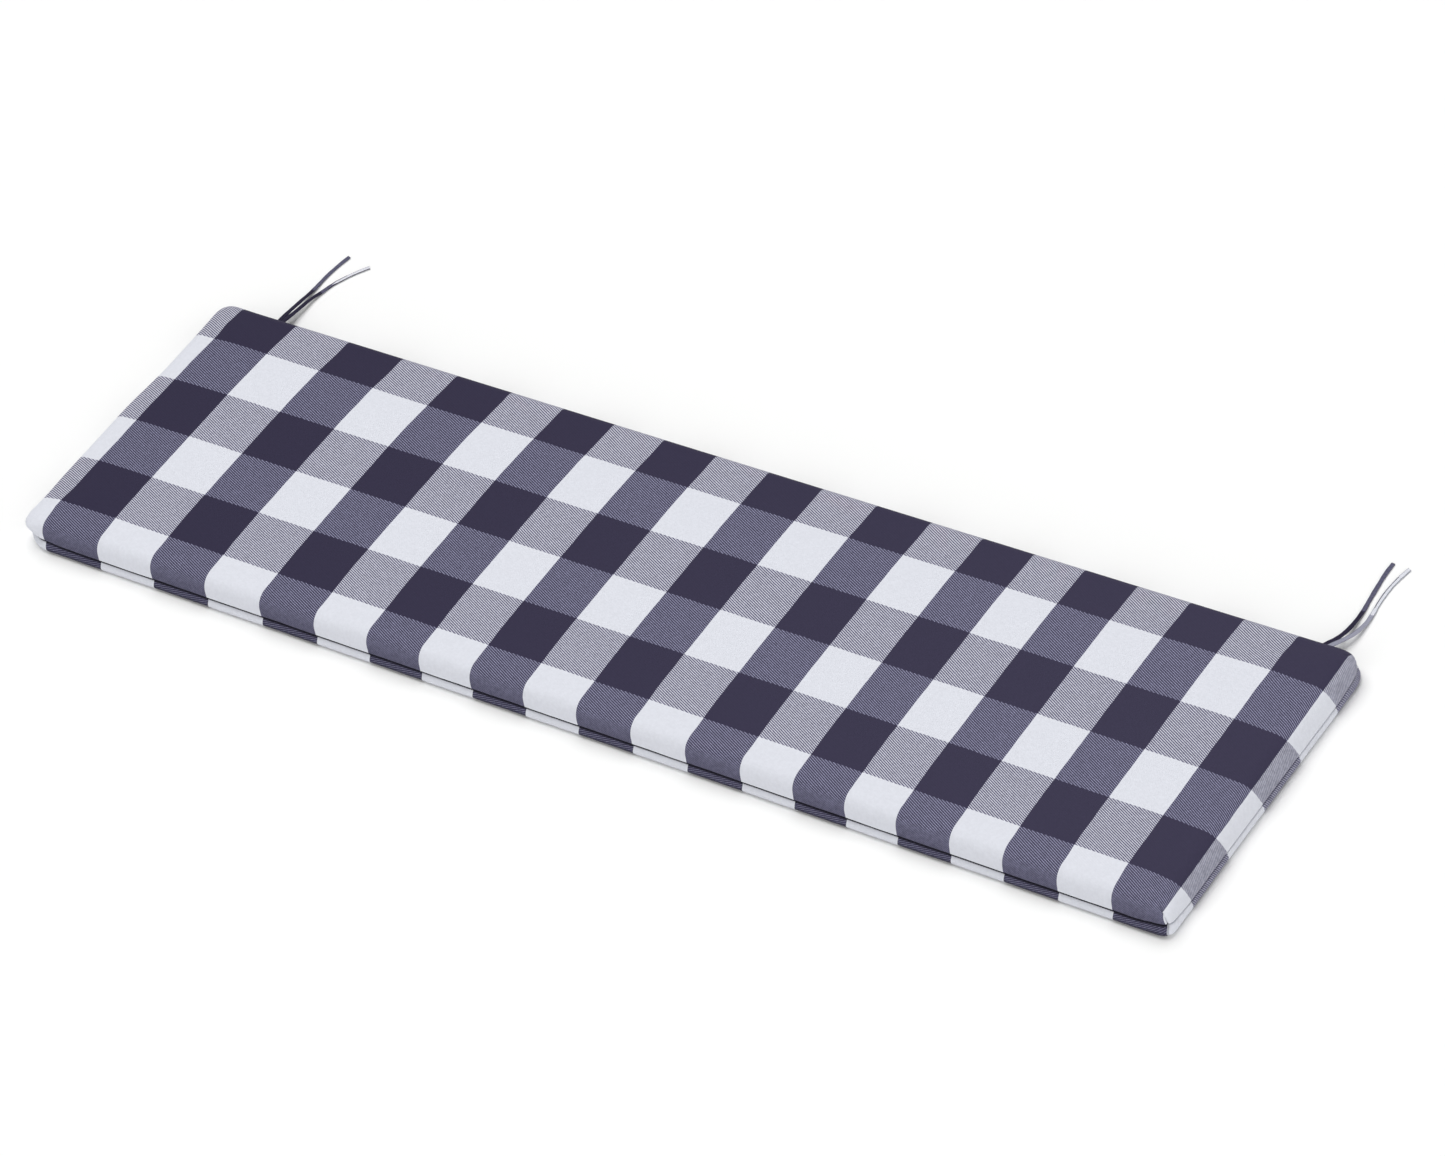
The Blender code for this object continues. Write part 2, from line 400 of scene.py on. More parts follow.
def makeCoverMaterial():
    material, tree, surface = startMaterial("coverCloth")
    cloth = addNode(tree, "ShaderNodeUVMap", uv_map="cloth").outputs[0]
    place = addNode(tree, "ShaderNodeTexCoord").outputs["Object"]
    along, _, height = partsOf(tree, place)
    side, low, strip = [smoothRange(tree, height, *cover[key], 1.0, 0.0)
                        for key in ("linesHeights", "lowHeights", "stripHeights")]
    # painted light: the navy is painted lighter towards the right end, where more light falls on it
    paintedLight = smoothRange(tree, along, *cover["paintedLightStretch"])
    navy = mixColour(tree, paintedLight, clothTones["navy"], clothTones["navyPaintedLight"])
    twill = placeGroup(tree, twillGroup, {"Cloth": cloth})
    paleShare, navyShare = [
        plus(tree, clothTones[kind + "LineShare"],
             mathNode(tree, "MULTIPLY_ADD", low, cover[kind + "ShareAdded"][0],
                      times(tree, strip, cover[kind + "ShareAdded"][1])))
        for kind in ("pale", "navy")
    ]
    closed = times(tree, side, blendNode(tree, strip, cover["linesClosed"], cover["stripClosed"]))
    check = placeGroup(tree, checkGroup, {
        "Cloth": cloth, "Line": twill["Line"], "Navy": navy, "Closed": closed,
        "Pale Share": paleShare, "Navy Share": navyShare, "Pale Closed": cover["paleClosed"],
        "Navy Closed": cover["navyClosed"]})
    mixed = times(tree, check["Mixed"], blendNode(tree, side, *cover["mottleMixed"]))
    tone = placeGroup(tree, mottleGroup, {
        "Color": check["Color"], "Place": place, "Scale": cover["mottleScale"],
        "Amount": plus(tree, mixed, cover["mottleEverywhere"])})
    # painted shade: a per-vertex attribute mixes the cloth towards a near-black tone in the seam
    # channel, on its lips, in the darts' creases and at the foot
    shade = addNode(tree, "ShaderNodeAttribute", attribute_name="paintedShade").outputs["Fac"]
    # the painted shade spreads further on the dark columns
    spread = blendNode(tree, check["Dark"], 1.0, cover["darkSpread"])
    colour = mixColour(tree, mathNode(tree, "POWER", shade, spread), tone["Color"],
                       clothTones["paintedShade"])
    finishCloth(tree, surface, colour, twill["Height"], twill["Fuzz"], cover["bumpHeight"])
    return material


def makeThreadMaterial(name, colour):
    material, tree, surface = startMaterial(name)
    place = addNode(tree, "ShaderNodeTexCoord").outputs["Object"]
    tone = placeGroup(tree, mottleGroup, {"Color": colour, "Place": place, **threadMottle})
    finishCloth(tree, surface, tone["Color"], tone["Tone"], tone["Tone"], threadBumpHeight)
    return material


coverCloth = makeCoverMaterial()
seamThread = makeThreadMaterial("seamThread", (0.014, 0.012, 0.026, 1.0))
tieThread = makeThreadMaterial("tieThread", (0.060, 0.058, 0.095, 1.0))
print("cover cloth and thread materials made")


# a stitch's least and greatest size against an even one
stitchSizes = (0.86, 1.12)


def makeStitchTree():
    # rows of short rounded stitches along a path, slightly uneven as a machine leaves them
    tree, given, result = newGroup(
        "stitchRow",
        (("Path", "Geometry", None), ("Pitch", "Float", None), ("Length", "Float", None),
         ("Width", "Float", None), ("Height", "Float", None), ("Seed", "Int", None),
         ("Thread", "Material", None)),
        (("Stitches", "Geometry"),), "GeometryNodeTree")
    line = addNode(tree, "GeometryNodeMeshToCurve", {"Mesh": given["Path"]}).outputs[0]
    spaced = addNode(tree, "GeometryNodeResampleCurve",
                     {"Curve": line, "Length": given["Pitch"]}, mode="LENGTH").outputs[0]
    bead = addNode(tree, "GeometryNodeMeshUVSphere",
                   {"Segments": 6, "Rings": 4, "Radius": 0.5}).outputs["Mesh"]
    size = addNode(tree, "ShaderNodeCombineXYZ", {"X": given["Length"], "Y": given["Width"],
                                                  "Z": given["Height"]}).outputs[0]
    stitch = addNode(tree, "GeometryNodeTransform", {"Geometry": bead, "Scale": size}).outputs[0]
    tangent = tree.nodes.new("GeometryNodeInputTangent").outputs[0]
    turn = addNode(tree, "FunctionNodeAlignRotationToVector", {"Vector": tangent},
                   axis="X").outputs[0]
    uneven = addNode(tree, "FunctionNodeRandomValue",
                     {2: stitchSizes[0], 3: stitchSizes[1], "Seed": given["Seed"]},
                     data_type="FLOAT").outputs[1]
    row = addNode(tree, "GeometryNodeInstanceOnPoints", {
        "Points": spaced, "Instance": stitch, "Rotation": turn, "Scale": uneven}).outputs[0]
    solid = addNode(tree, "GeometryNodeRealizeInstances", {"Geometry": row}).outputs[0]
    smooth = addNode(tree, "GeometryNodeSetShadeSmooth", {"Geometry": solid}).outputs[0]
    dressed = addNode(tree, "GeometryNodeSetMaterial",
                      {"Geometry": smooth, "Material": given["Thread"]}).outputs[0]
    return closeGroup(tree, result, {"Stitches": dressed})


stitchTree = makeStitchTree()


def stitchPiece(name, paths, values):
    # one piece of stitches along one or more lines of points
    points, edges = [], []
    for path in paths:
        edges += [(len(points) + step, len(points) + step + 1) for step in range(len(path) - 1)]
        points += [tuple(point) for point in path]
    mesh = bpy.data.meshes.new(name)
    mesh.from_pydata(points, edges, [])
    item = addPiece(name, mesh, values["Thread"])
    modifier = item.modifiers.new("stitchRow", "NODES")
    modifier.node_group = stitchTree
    for socket in stitchTree.interface.items_tree:
        if socket.in_out == "INPUT" and socket.name in values:
            modifier[socket.identifier] = values[socket.name]
    bakeModifiers(item)
    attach(item, "root")
    return item


# what the four ties share: narrow strips, folded and stitched, of the same cloth
tie = {
    "width": 0.0050,
    "rootWider": 0.22,
    "rootReach": 0.5,
    "waver": ((0.05, 31.0), (0.03, 83.0)),
    "thickness": 0.0018,
    "ringSpacing": 0.0020,
    "squareEnd": 0.15,
    "curveSteps": 12,
    "floorGap": 0.0003,
    "stripesAround": 0.20,
    "twill": {"Across": 33.0, "Along": 25.0},
    "lineShare": 0.45,
    "lineStrength": 0.30,
    "edgeWaver": 0.03,
    "topMiddle": 0.475,
    "cutMiddle": 0.47,
    "wedgeOpening": 0.26,
    "lowerEdge": (0.580, 0.680),
    "upperEdge": (0.260, 0.385),
    "furrowAt": 0.68,
    "furrowRise": 0.62,
    "mottle": {"Scale": 500.0, "Amount": 0.10},
    "bumpHeight": 0.0001,
    "stitch": {"Pitch": 0.0022, "Length": 0.0016, "Width": 0.0004, "Height": 0.0003, "Seed": 3},
}

# each tie's route by its middle line, from the back seam to the cut end
tieRoutes = {
    "tie_left_a": (
        (-0.6885, 0.1952, 0.0130), (-0.6898, 0.2044, 0.0112), (-0.6909, 0.2215, 0.0086),
        (-0.6915, 0.2456, 0.0050), (-0.6912, 0.2667, 0.0025), (-0.6913, 0.2937, 0.0012),
        (-0.6885, 0.3154, 0.0012), (-0.6853, 0.3302, 0.0012),
    ),
    "tie_left_b": (
        (-0.6839, 0.1952, 0.0130), (-0.6843, 0.2055, 0.0110), (-0.6840, 0.2305, 0.0070),
        (-0.6828, 0.2525, 0.0040), (-0.6798, 0.2676, 0.0020), (-0.6752, 0.2839, 0.0012),
        (-0.6684, 0.2976, 0.0012), (-0.6587, 0.3126, 0.0012), (-0.6500, 0.3238, 0.0012),
    ),
    "tie_right_a": (
        (0.7055, 0.1954, 0.0130), (0.7090, 0.2036, 0.0114), (0.7144, 0.2174, 0.0090),
        (0.7167, 0.2337, 0.0060), (0.7164, 0.2501, 0.0035), (0.7154, 0.2655, 0.0019),
        (0.7132, 0.2833, 0.0012), (0.7112, 0.3037, 0.0012), (0.7098, 0.3228, 0.0012),
        (0.7100, 0.3380, 0.0012),
    ),
    "tie_right_b": (
        (0.7108, 0.1955, 0.0130), (0.7158, 0.2053, 0.0114), (0.7219, 0.2187, 0.0090),
        (0.7259, 0.2320, 0.0060), (0.7275, 0.2497, 0.0031), (0.7266, 0.2650, 0.0016),
        (0.7247, 0.2824, 0.0012), (0.7243, 0.2999, 0.0012), (0.7261, 0.3184, 0.0012),
        (0.7301, 0.3368, 0.0012),
    ),
}

# how each tie is cut from the check, in parts of its length from the root (0) to the cut end (1):
# where the first tone gives way, the stretch over which a white wedge opens, and where a dark
# line runs along the strip's lower and upper edge
never = (2.0, 2.1)
plainTie = {"slot": "tie_navy", "first": "navy", "change": 0.50, "second": "darkBlend",
            "white": never, "lower": never, "upper": never, "lowerTone": "navy"}
tieLooks = {
    "tie_left_a": {**plainTie, "change": 0.53},
    "tie_left_b": {**plainTie, "slot": "tie_blend", "change": 0.53, "white": (0.63, 0.78),
                   "lower": (0.60, 1.1), "upper": (0.60, 0.80)},
    "tie_right_a": plainTie,
    "tie_right_b": {**plainTie, "slot": "tie_pale", "first": "lightBlend", "white": (0.49, 0.51),
                    "second": "lightBlend", "lower": (0.50, 1.1), "upper": (0.57, 0.90),
                    "lowerTone": "lightBlend"},
}

tieTones = {
    "navy": (0.0225, 0.0185, 0.0420, 1.0),
    "darkBlend": (0.042, 0.039, 0.075, 1.0),
    "lightBlend": (0.285, 0.290, 0.350, 1.0),
    "white": clothTones["white"],
}

# the folded strip's section in parts of its half width and half thickness: a round fold on
# one side, two sewn edges with a stitched furrow on the other
tieSection = (
    (0.82, -0.84), (0.97, -0.50), (1.00, 0.00), (0.95, 0.45), (0.80, 0.70), (0.68, 0.52),
    (0.56, 0.80), (0.30, 0.96), (0.00, 1.00), (-0.42, 0.98), (-0.74, 0.84), (-0.95, 0.45),
    (-1.00, 0.00), (-0.95, -0.50), (-0.80, -0.84), (-0.42, -0.96), (0.00, -0.98), (0.42, -0.96),
)


def curvePoint(before, start, end, after, t):
    return 0.5 * (2.0 * start + (end - before) * t
                  + (2.0 * before - 5.0 * start + 4.0 * end - after) * t ** 2
                  + (3.0 * start - before - 3.0 * end + after) * t ** 3)


def smoothRoute(points, spacing):
    # evenly spaced points on a smooth curve through the route's own points, and its length
    knots = [Vector(point) for point in points]
    knots = [knots[0] * 2.0 - knots[1]] + knots + [knots[-1] * 2.0 - knots[-2]]
    fine = []
    for index in range(1, len(knots) - 2):
        for step in range(tie["curveSteps"]):
            fine.append(curvePoint(*knots[index - 1:index + 3], step / tie["curveSteps"]))
    fine.append(knots[-2])
    lengths = np.cumsum([0.0] + [(end - start).length for start, end in zip(fine, fine[1:])])
    count = round(lengths[-1] / spacing)
    spots = np.linspace(0.0, lengths[-1], count + 1)
    axes = [np.interp(spots, lengths, [point[axis] for point in fine]) for axis in range(3)]
    return [Vector(point) for point in zip(*axes)], float(lengths[-1])


def tieFrame(route, index):
    # the way to the side and the way up, at one point of a route
    ahead = route[min(index + 1, len(route) - 1)] - route[max(index - 1, 0)]
    side = Vector((0.0, 0.0, 1.0)).cross(ahead).normalized()
    return side, ahead.cross(side).normalized()


def tieHalfWidth(name, part):
    # folded cloth is never quite even, and it is wider where it leaves the seam
    (slow, slowTurn), (quick, quickTurn) = tie["waver"]
    uneven = 1.0 + slow * sin(slowTurn * part + len(name)) + quick * sin(quickTurn * part)
    uneven += tie["rootWider"] * (1.0 - smoothStep(part / tie["rootReach"]))
    return tie["width"] / 2.0 * uneven


def tieMesh(name, route):
    halfThickness = tie["thickness"] / 2.0
    shape = bmesh.new()
    layer = shape.loops.layers.uv.new("cloth")
    rings = []
    last = len(route) - 1
    # a ring just before each end keeps the cut square
    spots = [0.0, tie["squareEnd"], *range(1, last), last - tie["squareEnd"], float(last)]
    for spot in spots:
        index = min(int(spot), last - 1)
        centre = route[index].lerp(route[index + 1], spot - index)
        side, up = tieFrame(route, round(spot))
        ring = []
        for across, rise in tieSection:
            point = (centre + side * (across * tieHalfWidth(name, spot / last))
                     + up * (rise * halfThickness))
            point.z = max(point.z, tie["floorGap"])
            ring.append(shape.verts.new(point))
        rings.append(ring)
    around = len(tieSection)
    for index in range(len(spots) - 1):
        for step in range(around):
            places = ((index, step), (index, step + 1), (index + 1, step + 1), (index + 1, step))
            face = shape.faces.new([rings[row][turn % around] for row, turn in places])
            for loop, (row, turn) in zip(face.loops, places):
                loop[layer].uv = (spots[row] / last, turn / around)
    for ring, end in ((rings[0][::-1], 0.0), (rings[-1], 1.0)):
        for loop in shape.faces.new(ring).loops:
            loop[layer].uv = (end, tie["cutMiddle"])
    bmesh.ops.recalc_face_normals(shape, faces=shape.faces)
    return finishMesh(name, shape)


def between(tree, value, low, high):
    return times(tree, isAbove(tree, value, low), isBelow(tree, value, high))


def makeTieMaterial(name, look, length):
    material, tree, surface = startMaterial(name + "Cloth")
    cloth = addNode(tree, "ShaderNodeUVMap", uv_map="cloth").outputs[0]
    along, around = partsOf(tree, cloth)[:2]
    place = addNode(tree, "ShaderNodeTexCoord").outputs["Object"]
    # the strip's own cloth map: stripes along its length, so the twill crosses it aslant
    onStrip = stretchNode(tree, cloth, (length / rowPitch, tie["stripesAround"], 1.0))
    twill = placeGroup(tree, twillGroup, {"Cloth": onStrip, **tie["twill"]})
    shift = times(tree, minus(tree, twill["Fuzz"], 0.5), tie["edgeWaver"])
    changed = isAbove(tree, plus(tree, along, shift), look["change"])
    colour = mixColour(tree, changed, tieTones[look["first"]], tieTones[look["second"]])
    # the row's yarn shows in slanting lines wherever the tone is a blend
    blended = changed if look["first"] == "navy" else 1.0
    lined = times(tree, isBelow(tree, twill["Line"], tie["lineShare"]), blended)
    colour = mixColour(tree, times(tree, lined, tie["lineStrength"]), colour,
                       clothTones["paleLine"])
    offMiddle = mathNode(tree, "ABSOLUTE", minus(tree, around, tie["topMiddle"]))
    opening = smoothRange(tree, along, *look["white"], 0.0, tie["wedgeOpening"])
    white = times(tree, isBelow(tree, offMiddle, opening), isAbove(tree, along, look["white"][0]))
    colour = mixColour(tree, white, colour, tieTones["white"])
    for edge, tone in (("lower", look["lowerTone"]), ("upper", "navy")):
        inEdge = times(tree, between(tree, along, *look[edge]),
                       between(tree, around, *tie[edge + "Edge"]))
        colour = mixColour(tree, inEdge, colour, tieTones[tone])
    tone = placeGroup(tree, mottleGroup, {"Color": colour, "Place": place, **tie["mottle"]})
    finishCloth(tree, surface, tone["Color"], twill["Height"], twill["Fuzz"], tie["bumpHeight"])
    return material


def makeTie(name):
    route, length = smoothRoute(tieRoutes[name], tie["ringSpacing"])
    look = tieLooks[name]
    material = makeTieMaterial(name.replace("tie_", "tie"), look, length)
    item = addPiece(name + "_cloth", tieMesh(name, route), material)
    roundOff(item)
    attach(item, "root")
    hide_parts(name)
    # the stitching that closes the strip lies in its furrow
    row = []
    for index in range(len(route)):
        side, up = tieFrame(route, index)
        row.append(route[index] + side * (tie["furrowAt"] * tieHalfWidth(name, index / len(route)))
                   + up * (tie["furrowRise"] * tie["thickness"] / 2.0))
    stitches = stitchPiece(name + "_stitches", [row], {**tie["stitch"], "Thread": tieThread})


for tieName in tieRoutes:
    makeTie(tieName)
print("ties made")


# the filled body: a top panel over the shoulder and a bottom panel turned up to the seam
cushion = {
    "length": 1.531,
    "depth": 0.392,
    "thickness": 0.0382,
    "seamHeight": 0.0119,
    "floorEdge": 0.0044,
    "overhang": 0.0008,
    "slotHalfHeight": 0.00115,
    "seamLip": 0.0010,
    # painted shade: how dark the darts' creases, the seam's lips and the foot are painted, and the
    # height up to which the foot's painted shade reaches
    "creaseShade": 0.5,
    "lipShade": 0.3,
    "footShade": 0.22,
    "footShadeTop": 0.006,
    "stripSteps": 3,
    "shoulderSteps": 12,
    "crown": 0.0012,
    "crownReach": 0.150,
    "dartDepth": 0.0024,
    "dartHalfWidth": 0.0011,
    "dartTop": 0.032,
    "seamLift": 0.0030,
    "seamLiftReach": 0.030,
    "innerReach": 0.060,
    "innerSteps": 6,
    "fanReach": 0.008,
    "longSteps": 112,
    "endSteps": 46,
    "fill": 0.85,
}

# each side's section: how far its foot and its seam stand in, the seam channel's depth and how much
# of the painted shade in its channel and at its foot shows, how far the shoulder reaches and how
# aslant it starts, and how far the middle is drawn in
frontSide = {"floorInset": -0.0023, "seamInset": 0.0018, "slotDepth": 0.0045, "shade": 1.0,
             "shoulderReach": 0.0200, "startTurn": 0.0, "drawIn": 0.0006}
backSide = {**frontSide, "shoulderReach": 0.0145}
rightEnd = {"floorInset": 0.0004, "seamInset": 0.0008, "slotDepth": 0.0014, "shade": 0.2,
            "shoulderReach": 0.0240, "startTurn": 20.0, "drawIn": 0.0006}
leftEnd = {**rightEnd, "startTurn": 0.0, "shoulderReach": 0.0220}
sideRules = {"front": frontSide, "right": rightEnd, "back": backSide, "left": leftEnd}
sideKeys = tuple(sideRules)

# the underside's edge curls in before it reaches the floor: heights, and how far in
footRows = ((0.0, 0.0086), (0.0003, 0.0056), (0.0008, 0.0033), (0.0016, 0.0016),
            (0.0028, 0.0005), (0.0044, 0.0))

# the four corners: radii at the surface, on the side and on top, and how far each stands in
frontLeft = {"low": 0.040, "side": 0.017, "top": 0.032, "inset": 0.0006}
frontRight = {"low": 0.013, "side": 0.012, "top": 0.030, "inset": 0.0020}
backRight = {"low": 0.030, "side": 0.018, "top": 0.030, "inset": 0.0}
backLeft = {"low": 0.018, "side": 0.014, "top": 0.034, "inset": 0.0030}

# small upright folds beside each corner, and the cloth's slow waver along the seam
gather = {"reach": 0.055, "height": 0.018, "clear": 0.010, "clearHeight": 0.15,
          "foldPitch": 0.0115, "foldShift": 1.7, "fold": 0.00035, "waver": 0.00030,
          "waverTurns": (71.0, 29.0), "waverShift": 2.0}

# how far the left end stands in along its length: pinched beside its front corner, and stepped
# in towards the back
leftProfile = {
    "from": -0.60,
    "reach": 0.15,
    "y": (-0.196, -0.178, -0.160, -0.145, -0.115, 0.010, 0.040, 0.075, 0.196),
    "inset": (0.0006, 0.0002, 0.0, 0.0002, -0.0012, -0.0014, 0.0010, 0.0032, 0.0030),
}

# distances from a corner's middle, where the mesh is finer
cornerStations = (0.0, 0.0004, 0.0011, 0.0026, 0.0050, 0.0080, 0.0118, 0.0160, 0.0205, 0.0250,
                  0.0300, 0.0350, 0.0405, 0.0465, 0.0530)

# where the stripes' edges fall on the laid-out top, as read from the photo: the columns' along X,
# the rows' along Y from the back
columnEdges = (-0.7266, -0.6453, -0.5679, -0.4888, -0.4104, -0.3330, -0.2596, -0.1876, -0.1183,
               -0.0464, 0.0244, 0.0960, 0.1670, 0.2379, 0.3041, 0.3693, 0.4327, 0.4986, 0.5628,
               0.6284, 0.6930, 0.7556)
rowEdges = (0.1311, 0.0584, -0.0130, -0.0826, -0.1513)

# how the cloth lies out of square: the columns fan out, the rows stand lower towards the right
# end, the left columns lean to the right at the back edge, and the front's do so low down (at
# the left and the right end). Each start and reach is a place along X or Y
clothLie = {
    "columnFan": 0.0095,
    "rowDrop": 0.0013,
    "rowDropFrom": 0.25,
    "rowDropReach": 0.4,
    "backLean": 0.0028,
    "backLeanFrom": 0.06,
    "backLeanReach": 0.13,
    "backLeanFade": 0.3,
    "frontLean": (0.0044, 0.0020),
    "frontLeanReach": 1.5,
}


def stripeAt(place, edges):
    # stripes counted from the first edge, running on past the last one at the same pitch
    first, last = edges[1] - edges[0], edges[-1] - edges[-2]
    if (place - edges[0]) * first < 0.0:
        return (place - edges[0]) / first
    if (place - edges[-1]) * first > 0.0:
        return len(edges) - 1 + (place - edges[-1]) / last
    if first < 0.0:
        place, edges = -place, [-edge for edge in edges]
    return float(np.interp(place, edges, range(len(edges))))


def clothMap(x, y):
    lie = clothLie
    drop = lie["rowDrop"] * smoothStep((x - lie["rowDropFrom"]) / lie["rowDropReach"])
    lean = (lie["backLean"] * smoothStep((y - lie["backLeanFrom"]) / lie["backLeanReach"])
            * smoothStep(-x / lie["backLeanFade"]))
    return (stripeAt(x + lie["columnFan"] * x * y - lean, columnEdges),
            1.0 + stripeAt(y + drop, rowEdges))


def level(height, rule, over=0.0, panel="bottom", shade=0.0):
    insets = {key: rule(side) for key, side in sideRules.items()}
    return {**insets, "height": height, "over": over, "panel": panel, "shade": shade}


def shoulderInset(side, rise):
    # how far in the shoulder stands at a part of its height, on an ellipse that may start aslant
    start = radians(side["startTurn"])
    turn = asin(blend(sin(start), 1.0, rise))
    return side["shoulderReach"] * (cos(start) - cos(turn)) / cos(start)


def sectionLevels():
    c = cushion
    levels = []
    for height, tuck in footRows:
        # painted shade at the foot, darkest at the floor where the cloth turns under
        shade = c["footShade"] * (1.0 - smoothStep(height / c["footShadeTop"]))
        levels.append(level(height, lambda s: s["floorInset"] + tuck, shade=shade))
    slotLow = c["seamHeight"] - c["slotHalfHeight"]
    slotHigh = c["seamHeight"] + c["slotHalfHeight"]
    for step in range(c["stripSteps"]):  # the bottom panel's turned-up strip
        part = (step + 1) / c["stripSteps"]
        bend = 1.0 - cos(part * pi / 2.0)
        levels.append(level(blend(c["floorEdge"], slotLow - c["seamLip"], part),
                            lambda s: blend(s["floorInset"], s["seamInset"], bend)))
    # the seam channel from its lower lip to its upper one: how far in beyond the seam, how much
    # of the channel's depth, and the panel
    for height, inset, depth, panel in (
            (slotLow - 0.0001, 0.0005, 0.0, "bottom"), (slotLow, 0.0010, 0.0, "bottom"),
            (slotLow, 0.0, 1.0, "bottom"), (slotHigh, 0.0, 1.0, "top"),
            (slotHigh, 0.0008, 0.0, "top"), (slotHigh + 0.0001, 0.0002, 0.0, "top")):
        # painted shade: full inside the channel, the lips' share on the lips beside it
        inSlot = slotLow <= height <= slotHigh
        levels.append(level(height, lambda s: s["seamInset"] + inset + depth * s["slotDepth"],
                            panel=panel, shade=1.0 if inSlot else c["lipShade"]))
    base = slotHigh + c["seamLip"]
    levels.append(level(base, lambda s: s["seamInset"] - c["overhang"], panel="top"))
    for step in range(c["shoulderSteps"]):  # the top panel's rounded edge, a quarter ellipse
        turn = pi / 2.0 * (step + 1) / c["shoulderSteps"]
        height = blend(base, c["thickness"] - c["crown"], sin(turn))
        levels.append(level(height, lambda s: s["seamInset"] - c["overhang"]
                            + shoulderInset(s, sin(turn)), 1.0 - cos(turn), "top"))
    return levels


def radiusAt(corner, height, over):
    seam = cushion["seamHeight"]
    radius = blend(corner["low"], corner["side"], smoothStep((height - seam) / seam))
    return blend(radius, corner["top"], over)


def dartAt(height):
    top, seam = cushion["dartTop"], cushion["seamHeight"]
    rise = smoothStep((top - height) / (top - seam))
    return cushion["dartDepth"] * rise * smoothStep(height / cushion["floorEdge"])


def liftAt(height, cornerDistance):
    below = smoothStep(height / cushion["seamHeight"])
    above = smoothStep((cushion["thickness"] - height)
                       / (cushion["thickness"] - cushion["seamHeight"]))
    near = smoothStep(1.0 - cornerDistance / cushion["seamLiftReach"])
    return cushion["seamLift"] * below * above * near


def leftEndShift(x, y):
    # turns the left end's even slant into its own profile
    way = smoothStep((leftProfile["from"] - x) / leftProfile["reach"])
    even = min(max((y + cushion["depth"] / 2.0) / cushion["depth"], 0.0), 1.0)
    inset = float(np.interp(y, leftProfile["y"], leftProfile["inset"]))
    return (inset - blend(frontLeft["inset"], backLeft["inset"], even)) * way


def gatherAt(place, gap, index, levelRow):
    # small upright folds that the seam draws together near a corner, and a slow waver of the
    # cloth along the seam, both gone where the shoulder turns over
    above = (levelRow["height"] - cushion["seamHeight"]) / gather["height"]
    fade = smoothStep(1.0 - abs(above)) * smoothStep(abs(above) / gather["clearHeight"])
    near = smoothStep(1.0 - gap / gather["reach"]) * smoothStep(gap / gather["clear"])
    turn = 2.0 * pi * gap / gather["foldPitch"] + gather["foldShift"] * index
    fold = sin(turn) * near * gather["fold"]
    quick, slow = gather["waverTurns"]
    waver = (sin(place * quick + index) * sin(place * slow + gather["waverShift"] * index)
             * gather["waver"])
    return (fold + waver) * fade


def sidePoints(levelRow, index, spots, steps):
    # one side of one level, from the middle of one corner to the middle of the next. past is
    # how far round the corner a point lies, and bend the corner's radius there
    centreA, radiusA = spots[index - 1]
    centreB, radiusB = spots[index]
    turn = pi / 2.0 * (index - 1)
    out = Vector((round(cos(turn)), round(sin(turn))))
    along = Vector((-out.y, out.x))
    side = sideRules[sideKeys[index]]
    start, end = centreA + out * radiusA, centreB + out * radiusB
    arcA, arcB = radiusA * pi / 4.0, radiusB * pi / 4.0
    straight = (end - start).length
    whole = arcA + straight + arcB
    inner = np.linspace(cornerStations[-1], whole - cornerStations[-1],
                        steps - 2 * len(cornerStations) + 3)
    places = list(cornerStations[:-1]) + list(inner)
    places += [whole - place for place in reversed(cornerStations[:-1])]
    draw = side["drawIn"] * (1.0 - min(levelRow["over"], 1.0))
    dart = dartAt(levelRow["height"])
    points = []
    for place in places:
        past, bend, radial = 0.0, 0.0, out
        if place < arcA:
            past, bend, centre = place - arcA, radiusA, centreA
        elif place > arcA + straight:
            past, bend, centre = place - arcA - straight, radiusB, centreB
        if bend:
            radial = out * cos(past / bend) + along * sin(past / bend)
            spot = centre + radial * bend
        else:
            part = (place - arcA) / straight
            spot = start + (end - start) * part - out * (draw * sin(pi * part))
        gap = min(place, whole - place)
        groove = dart * (1.0 - smoothStep(gap / cushion["dartHalfWidth"]))
        cornerGap = max(gap - (arcA if place < whole / 2.0 else arcB), 0.0)
        spot = spot + Vector((leftEndShift(spot.x, spot.y), 0.0))
        spot = spot + radial * gatherAt(place, gap, index, levelRow)
        # crease: how much painted shade the dart's crease takes at this point
        points.append({"spot": spot, "sunk": spot - radial * groove,
                       "crease": (groove / cushion["dartDepth"]) ** 2, "past": past, "bend": bend,
                       "out": out, "along": along, "radial": radial, "cornerGap": cornerGap})
    return points


def cornerSpots(levelRow, extra=0.0, sharp=0.0):
    spots = []
    for corner, xSign, ySign in ((frontRight, 1, -1), (backRight, 1, 1), (backLeft, -1, 1),
                                 (frontLeft, -1, -1)):
        radius = radiusAt(corner, levelRow["height"], levelRow["over"]) * (1.0 - sharp)
        halfY = cushion["depth"] / 2.0 - levelRow["back" if ySign > 0 else "front"] - extra
        end = levelRow["right" if xSign > 0 else "left"]
        halfX = cushion["length"] / 2.0 - end - extra - corner["inset"]
        spots.append((Vector((xSign * (halfX - radius), ySign * (halfY - radius))), radius))
    return spots


